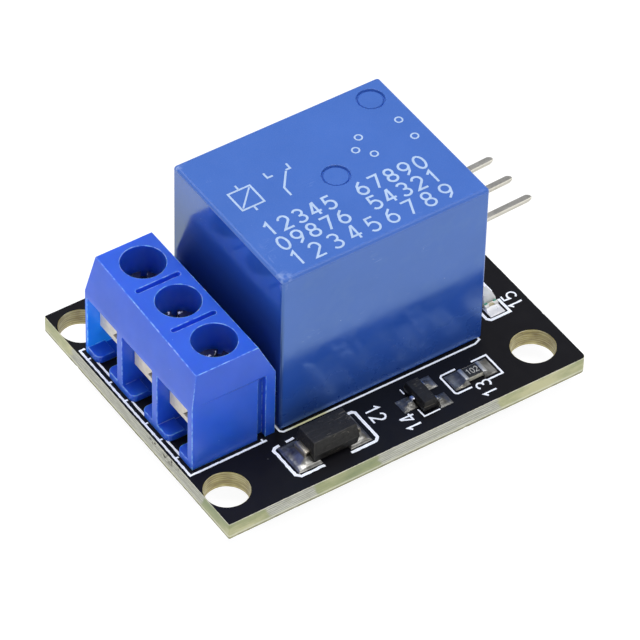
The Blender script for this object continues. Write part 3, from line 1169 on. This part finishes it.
def make_header_pins():
    """Square wire, bent down through the board, rounded along its edges and drawn in at the tip."""
    ca, sa = cos(YAW), sin(YAW)
    for k, up, fall in ((1, 0.08, 0.0), (0, 0.06, -0.025), (-1, 0.01, -0.045)):
        h, zc, L = 0.258, 2.08 + up, 10.0
        bm = bmesh.new()
        pts = [(-h, -2.90)]
        for i in range(7):
            a = pi - i * 0.5 * pi / 6
            pts.append((-h + 0.42 + 0.42 * cos(a), zc + h - 0.42 + 0.42 * sin(a)))
        pts += [(L - 0.45, zc + h), (L - 0.13, zc + 0.15), (L, zc + 0.08), (L, zc - 0.08), (L - 0.13, zc - 0.15), (L - 0.45, zc - h),
                (h, zc - h), (h, -2.90)]
        prism_bm(bm, [(a, -h, b) for a, b in pts], (0, 2 * h, 0))
        ob = obj("header_wire_%d" % (2 - k), bm)
        clean(ob)
        bevel(ob, 0.10, 4, 40, clamp=True)
        for v in ob.data.vertices:
            x, y, z = v.co
            t = max(0.0, min(1.0, (x - (L - 0.45)) / 0.45))
            y *= 1.0 - 0.60 * t * t
            y += 2.54 * k
            z += fall * max(0.0, x - 4.0)
            v.co = Vector((29.37 + x * ca - y * sa, 17.78 + x * sa + y * ca, z))
        for f in ob.data.polygons:
            f.material_index = 1 if f.normal.z > 0.5 else 0
        finish(ob, "module", "pin_metal", [PINS, PIN_TOP], "header_pin_%d" % (2 - k), smooth=50)


make_header_pins()

# small chamfers on the stamped and turned metal, and on the header's plastic
for name, w in [("terminal_contact_%d" % k, 0.05) for k in (1, 2, 3)] + [("clamp_cage_%d" % k, 0.06) for k in (1, 2, 3)] + \
        [("terminal_screw_%d" % k, 0.035) for k in (1, 2, 3)] + [("header_body", 0.06)]:
    ob = NODES[name]
    d = ob.modifiers.new("flat", "DECIMATE")
    d.decimate_type, d.angle_limit = "DISSOLVE", radians(1.0)
    b = ob.modifiers.new("edges", "BEVEL")
    b.width, b.segments, b.limit_method, b.angle_limit = w * 0.001, 2, "ANGLE", radians(40)
    b.use_clamp_overlap = True
    b.harden_normals = True


# -------------------------------------------------------- surface-mounted parts
def make_diode():
    bm = bmesh.new()
    x, y = D1
    frustum_bm(bm, [(x - 2.02, x + 2.02, y - 1.20, y + 1.20, 0.24), (x - 2.15, x + 2.15, y - 1.30, y + 1.30, 1.02),
                    (x - 2.13, x + 2.13, y - 1.28, y + 1.28, 1.10), (x - 1.98, x + 1.98, y - 1.05, y + 1.05, 2.20)])
    ob = obj("diode_moulding", bm)
    bevel(ob, 0.06, 3, 12, slot=1)
    finish(ob, "module", "moulding_compound", [COMPOUND, COMPOUND_EDGE], "diode_body", smooth=40)
    for k, s in ((1, -1), (2, 1)):
        pts = [(1.20, 0.07), (2.42, 0.07), (2.54, 0.10), (2.61, 0.17), (2.63, 0.28), (2.63, 0.92), (2.60, 1.06), (2.52, 1.13), (2.40, 1.15),
               (2.05, 1.15), (2.05, 0.99), (2.36, 0.99), (2.43, 0.96), (2.46, 0.88), (2.46, 0.32), (2.42, 0.24), (2.34, 0.22), (1.20, 0.22)]
        bm = bmesh.new()
        prism_bm(bm, [(x + s * a, y - 0.72, b) for a, b in pts], (0, 1.44, 0))
        ob = obj("diode_tab_%d" % k, bm)
        bevel(ob, 0.025, 2, 50)
        finish(ob, "module", "tinned_copper", [LEAD], "diode_lead_%d" % k, smooth=50)


def make_transistor():
    x, y = Q1
    bm = bmesh.new()
    frustum_bm(bm, [(x - 0.62, x + 0.62, y - 1.40, y + 1.40, 0.10), (x - 0.68, x + 0.68, y - 1.47, y + 1.47, 0.52),
                    (x - 0.67, x + 0.67, y - 1.46, y + 1.46, 0.60), (x - 0.56, x + 0.56, y - 1.34, y + 1.34, 1.05)])
    ob = obj("transistor_moulding", bm)
    bevel(ob, 0.05, 3, 12)
    finish(ob, "module", "moulding_compound", [COMPOUND_Q], "transistor_body", smooth=40)
    for k, s, ly in ((1, -1, y + 0.05), (2, 1, y - 0.95), (3, 1, y + 0.98)):
        pts = [(0.50, 0.50), (0.78, 0.50), (0.84, 0.46), (0.88, 0.14), (0.94, 0.08), (1.30, 0.07), (1.30, 0.19), (1.02, 0.20), (0.98, 0.24),
               (0.94, 0.54), (0.88, 0.61), (0.50, 0.62)]
        bm = bmesh.new()
        prism_bm(bm, [(x + s * a, ly - 0.21, b) for a, b in pts], (0, 0.42, 0))
        ob = obj("transistor_leg_%d" % k, bm)
        bevel(ob, 0.018, 2, 50)
        finish(ob, "module", "tinned_copper", [TIN], "transistor_lead_%d" % k, smooth=50)


def make_resistor(n, c, digits):
    x, y = c
    bm = bmesh.new()
    box_bm(bm, x - 0.96, x + 0.96, y - 0.60, y + 0.60, 0.10, 0.47)
    ob = obj("resistor_ceramic_%d" % n, bm)
    bevel(ob, 0.03, 2, 40)
    finish(ob, "module", "resistor_ceramic", [CERAMIC], "resistor_%d_body" % n, smooth=40)
    bm = bmesh.new()
    frustum_bm(bm, [(x - 0.68, x + 0.68, y - 0.56, y + 0.56, 0.465), (x - 0.66, x + 0.66, y - 0.54, y + 0.54, 0.515)])
    ob = obj("resistor_glaze_%d" % n, bm)
    bevel(ob, 0.02, 2, 30)
    finish(ob, "module", "resistor_ceramic", [GLAZE], smooth=40)
    for k, s in ((1, -1), (2, 1)):
        xa, xb = sorted((x + s * 0.66, x + s * 1.02))
        bm = bmesh.new()
        box_bm(bm, xa, xb, y - 0.64, y + 0.64, 0.06, 0.535)
        ob = obj("resistor_cap_%d_%d" % (n, k), bm)
        bevel(ob, 0.05, 3, 40)
        finish(ob, "module", "tinned_copper", [CAPS], *(["resistor_%d_end_caps" % n] if k == 1 else []), smooth=50)
    bm = bmesh.new()
    digits_into(bm, digits, x - 0.50, y - 0.27, 0.54, 0.37, 0.065, 0, 0.513, 0.521, wide=0.85, jag=0.0)
    finish(obj("resistor_digits_%d" % n, bm), "module", "resistor_ceramic", [DIGIT], smooth=30, weighted=False)


def make_lamp():
    x, y = D2
    bm = bmesh.new()
    box_bm(bm, x - 0.62, x + 0.62, y - 0.98, y + 0.98, 0.10, 0.40)
    ob = obj("lamp_base", bm)
    bevel(ob, 0.02, 2, 40)
    finish(ob, "module", "led_laminate", [LAMINATE], "led_base", smooth=40)
    for k, s in ((1, -1), (2, 1)):
        ya, yb = sorted((y + s * 0.74, y + s * 1.02))
        bm = bmesh.new()
        box_bm(bm, x - 0.625, x + 0.625, ya, yb, 0.06, 0.43)
        # half-round notch in the end of each cap
        ob = obj("lamp_cap_%d" % k, bm)
        boolean(ob, cyl(x, y + s * 1.04, -0.1, 0.6, 0.26, 32))
        bevel(ob, 0.02, 2, 40)
        finish(ob, "module", "tinned_copper", [GILT], *(["led_end_caps"] if k == 1 else []), smooth=50)
    bm = bmesh.new()
    frustum_bm(bm, [(x - 0.60, x + 0.60, y - 0.70, y + 0.70, 0.40), (x - 0.585, x + 0.585, y - 0.68, y + 0.68, 0.66),
                    (x - 0.42, x + 0.42, y - 0.42, y + 0.42, 1.07)])
    ob = obj("lamp_lens", bm)
    bevel(ob, 0.04, 3, 20)
    finish(ob, "module", "led_resin", [LENS], "led_lens", smooth=40)
    bm = bmesh.new()
    frustum_bm(bm, [(x - 0.16, x + 0.16, y - 0.16, y + 0.16, 0.42), (x - 0.13, x + 0.13, y - 0.13, y + 0.13, 0.60)])
    ob = obj("lamp_die", bm)
    bevel(ob, 0.02, 2, 30)
    finish(ob, "module", "led_resin", [DIE], smooth=40)
    bm = bmesh.new()
    for s in (-1, 1):
        box_bm(bm, x + s * 0.42 - 0.13, x + s * 0.42 + 0.13, y - 0.80, y - 0.66, 0.401, 0.47)
    ob = obj("lamp_marks", bm)
    bevel(ob, 0.02, 2, 30)
    finish(ob, "module", "led_laminate", [GREENMARK], smooth=40)


make_diode()
make_transistor()
make_resistor(1, R1, "102")
make_resistor(2, R2, "103")
make_lamp()

# ------------------------------------------------------------------------ stage
bm = bmesh.new()
g = 2.0
for p in ((-g, -g), (g, -g), (g, g), (-g, g)):
    bm.verts.new((p[0], p[1], 0.0))
bm.faces.new(bm.verts)
floor = obj("floor", bm)
floor.location.z = CAD_BOX[0][2] - 0.00002
fm = Mat("floor_white", Roughness=0.9)
fm.b.inputs["Specular IOR Level"].default_value = 0.1
fm.b.inputs["Base Color"].default_value = (0.20, 0.20, 0.20, 1)
fm.b.inputs["Emission Color"].default_value = (1, 1, 1, 1)
fm.b.inputs["Emission Strength"].default_value = 0.93
floor.data.materials.append(fm.m)

# ------------------------------------------------------------- light and camera
w = bpy.data.worlds.new("studio")
scene.world = w
w.use_nodes = True
nt = w.node_tree
bg = nt.nodes["Background"]
tc = nt.nodes.new("ShaderNodeTexCoord")
sep = nt.nodes.new("ShaderNodeSeparateXYZ")
ramp = nt.nodes.new("ShaderNodeValToRGB")
nt.links.new(tc.outputs["Generated"], sep.inputs[0])
nt.links.new(sep.outputs["Z"], ramp.inputs[0])
nt.links.new(ramp.outputs[0], bg.inputs["Color"])
e = ramp.color_ramp.elements
e[0].position, e[0].color = 0.0, (0.95, 0.95, 0.95, 1)
e[1].position, e[1].color = 1.0, (0.44, 0.44, 0.46, 1)
m1 = e.new(0.35)
m1.color = (0.62, 0.62, 0.63, 1)
bg.inputs["Strength"].default_value = 0.7


def area(name, loc, size, power, target=(0, 0, 0.005), color=(1, 1, 1)):
    d = bpy.data.lights.new(name, "AREA")
    d.shape, d.size, d.size_y, d.energy, d.color = "RECTANGLE", size[0], size[1], power, color
    o = bpy.data.objects.new(name, d)
    scene.collection.objects.link(o)
    o.location = loc
    o.rotation_euler = (Vector(target) - Vector(loc)).to_track_quat("-Z", "Y").to_euler()
    return o


area("key_light", (0.30, -0.42, 0.75), (0.30, 0.30), 1.3)
area("back_light", (-0.25, 0.50, 0.60), (0.30, 0.30), 1.0)
area("top_light", (0.02, 0.08, 0.80), (0.45, 0.45), 3.2)


def fit_camera():
    """The photograph's viewpoint: direction, distance and focal length solved from the board's edges."""
    az, el, roll = radians(-34.816), radians(44.604), radians(1.541)
    t = Vector((0.003, -2.129, 391.438))
    anch = Vector((17.0, 13.0, 5.0))
    back = Vector((sin(az) * cos(el), -cos(az) * cos(el), sin(el)))
    fwd = -back
    right = Vector((cos(az), sin(az), 0))
    down = fwd.cross(right)
    R = Matrix((right, down, fwd))
    Z = Matrix(((cos(roll), -sin(roll), 0), (sin(roll), cos(roll), 0), (0, 0, 1)))
    R = Z @ R
    centre = anch - R.transposed() @ t
    cam = bpy.data.cameras.new("camera")
    cam.sensor_width = 36.0
    cam.sensor_fit = "HORIZONTAL"
    cam.lens = 4992.05 * 36.0 / 640.0
    cam.clip_start, cam.clip_end = 0.05, 10
    o = bpy.data.objects.new("camera", cam)
    scene.collection.objects.link(o)
    rot = Matrix((R[0], -R[1], -R[2])).transposed().to_4x4()
    o.matrix_world = Matrix.Translation((centre + OFF) * 0.001) @ rot
    scene.camera = o


fit_camera()
scene.view_settings.view_transform = "Standard"
scene.view_settings.look = "None"
